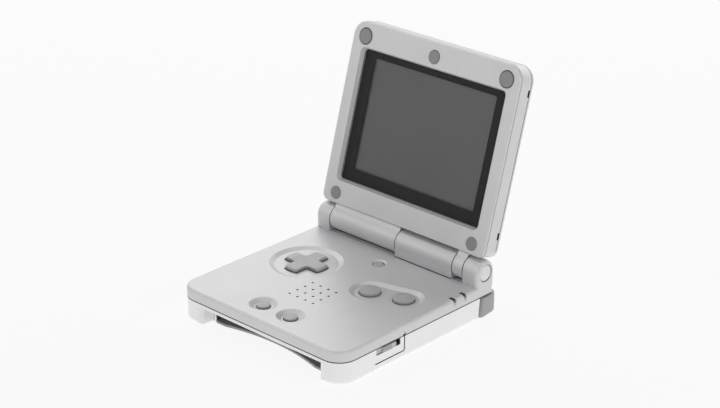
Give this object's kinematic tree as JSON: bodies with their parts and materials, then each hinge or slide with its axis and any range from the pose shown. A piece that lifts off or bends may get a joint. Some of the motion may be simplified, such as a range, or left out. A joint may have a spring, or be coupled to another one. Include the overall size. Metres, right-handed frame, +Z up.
{
  "type": "clamshell handheld game console",
  "caption": "Square clamshell handheld game console: control deck with direction pad, buttons and card slot, and a screen lid on a barrel hinge.",
  "frame": {"origin": "on the rest plane, at the middle of the base's underside, half way between its front and rear faces", "axes": "+X to the player's right, +Y away from the player towards the hinge, +Z up; the lid stands open at its rest angle of 105.9 degrees from the deck"},
  "size_m": [0.0826, 0.1031, 0.0929],
  "materials": {
    "silver_case": "fine metallic silver paint, satin",
    "pearl_case": "light pearl plastic, satin",
    "white_cap": "white plastic, glossy",
    "key_grey": "mid grey plastic, satin",
    "shoulder_grey": "mid grey plastic, satin",
    "pad_rubber": "grey rubber, matte",
    "dark_rubber": "dark rubber, matte",
    "black_plastic": "black moulded plastic, matte",
    "steel": "plated steel",
    "board_green": "green glass fibre board with lacquer",
    "smoked_lens": "smoked clear plastic, glossy",
    "screen_black": "black bordered acrylic lens, glossy",
    "clear_plastic": "clear moulded acrylic",
    "display_grey": "switched-off liquid crystal panel",
    "cable_film": "amber polyimide film"
  },
  "bodies": {
    "base": {"deck_shell": "silver_case", "bottom_shell": "pearl_case", "battery_cover": "pearl_case", "battery": "black_plastic", "battery_screw": "steel", "case_screws": "steel", "main_board": "board_green", "processor": "black_plastic", "card_connector": "black_plastic", "speaker": "black_plastic", "dpad_membrane": "dark_rubber", "action_membrane": "dark_rubber", "menu_membrane": "dark_rubber", "light_switch": "black_plastic", "led_lenses": "smoked_lens", "power_switch": "black_plastic", "volume_control": "black_plastic", "link_socket": "black_plastic", "charge_socket": "black_plastic", "shoulder_pins": "steel", "shoulder_springs": "steel", "shoulder_switches": "black_plastic", "hinge_pin": "steel", "hinge_clutch": "steel", "hinge_cap_left": "white_cap", "hinge_cap_right": "white_cap", "flex_cable": "cable_film"},
    "lid": {"lid_cover": "silver_case", "lid_bezel": "silver_case", "screen_lens": "screen_black", "light_guide": "clear_plastic", "lcd_panel": "display_grey", "lcd_frame": "black_plastic", "lid_screws": "steel", "pad_top_left": "pad_rubber", "pad_top_right": "pad_rubber", "pad_top_middle": "pad_rubber", "pad_low_left": "pad_rubber", "pad_low_right": "pad_rubber"},
    "dpad_post": {"dpad_post": "dark_rubber"},
    "dpad": {"dpad": "key_grey"},
    "a_button": {"a_button": "key_grey"},
    "b_button": {"b_button": "key_grey"},
    "select_button": {"select_button": "key_grey"},
    "start_button": {"start_button": "key_grey"},
    "light_button": {"light_button": "key_grey"},
    "power_slider": {"power_slider": "key_grey"},
    "volume_slider": {"volume_slider": "key_grey"},
    "shoulder_left": {"shoulder_left": "shoulder_grey"},
    "shoulder_right": {"shoulder_right": "shoulder_grey"}
  },
  "joints": [
    {"name": "lid_hinge", "type": "hinge", "parent": "base", "child": "lid", "pos_m": [0, 0.03586, 0.01822], "axis": [-1, 0, 0], "range_deg": [-105.9, 50]},
    {"name": "dpad_rock_sideways", "type": "hinge", "parent": "base", "child": "dpad_post", "pos_m": [-0.02044, 0.00485, 0.00985], "axis": [0, 1, 0], "range_deg": [-2.6, 2.6], "stiffness_Nm_per_rad": 0.6},
    {"name": "dpad_rock_forward", "type": "hinge", "parent": "dpad_post", "child": "dpad", "pos_m": [-0.02044, 0.00485, 0.00985], "axis": [1, 0, 0], "range_deg": [-2.6, 2.6], "stiffness_Nm_per_rad": 0.6},
    {"name": "a_press", "type": "slide", "parent": "base", "child": "a_button", "axis": [0, 0, -1], "range_m": [0, 0.0007], "stiffness_N_per_m": 400, "springref_m": -0.0004},
    {"name": "b_press", "type": "slide", "parent": "base", "child": "b_button", "axis": [0, 0, -1], "range_m": [0, 0.0007], "stiffness_N_per_m": 400, "springref_m": -0.0004},
    {"name": "select_press", "type": "slide", "parent": "base", "child": "select_button", "axis": [0, 0, -1], "range_m": [0, 0.0007], "stiffness_N_per_m": 400, "springref_m": -0.0004},
    {"name": "start_press", "type": "slide", "parent": "base", "child": "start_button", "axis": [0, 0, -1], "range_m": [0, 0.0007], "stiffness_N_per_m": 400, "springref_m": -0.0004},
    {"name": "light_press", "type": "slide", "parent": "base", "child": "light_button", "axis": [0, 0, -1], "range_m": [0, 0.0005], "stiffness_N_per_m": 400, "springref_m": -0.0004},
    {"name": "shoulder_right_press", "type": "hinge", "parent": "base", "child": "shoulder_right", "pos_m": [0.0249, 0.0398, 0.005], "axis": [0, 0, -1], "range_deg": [0, 3], "stiffness_Nm_per_rad": 0.5, "springref_deg": -2.86},
    {"name": "shoulder_left_press", "type": "hinge", "parent": "base", "child": "shoulder_left", "pos_m": [-0.0249, 0.0398, 0.005], "axis": [0, 0, 1], "range_deg": [0, 3], "stiffness_Nm_per_rad": 0.5, "springref_deg": -2.86},
    {"name": "power_slide", "type": "slide", "parent": "base", "child": "power_slider", "axis": [0, 1, 0], "range_m": [0, 0.0024]},
    {"name": "volume_slide", "type": "slide", "parent": "base", "child": "volume_slider", "axis": [0, 1, 0], "range_m": [0, 0.0024]}
  ]
}
